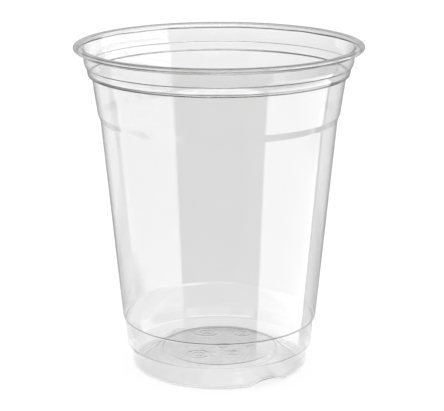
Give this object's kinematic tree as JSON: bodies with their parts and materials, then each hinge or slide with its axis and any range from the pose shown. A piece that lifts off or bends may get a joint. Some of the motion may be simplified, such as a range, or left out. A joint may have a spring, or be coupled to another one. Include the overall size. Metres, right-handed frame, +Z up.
{
  "type": "disposable drinking cup",
  "caption": "Clear thermoformed cold-drink cup with a rolled rim for a push-on lid, a stepped shoulder, a stacking band and a raised floor in a vented standing ring.",
  "frame": {"origin": "on the cup's axis, in the plane the standing ring rests on", "axes": "+Z up along the cup's axis, -Y towards the viewer of the picture, +X to the right"},
  "size_m": [0.098, 0.098, 0.1125],
  "materials": {
    "clear_pet": "clear gloss"
  },
  "bodies": {
    "root": {"cup": "clear_pet"}
  },
  "joints": []
}
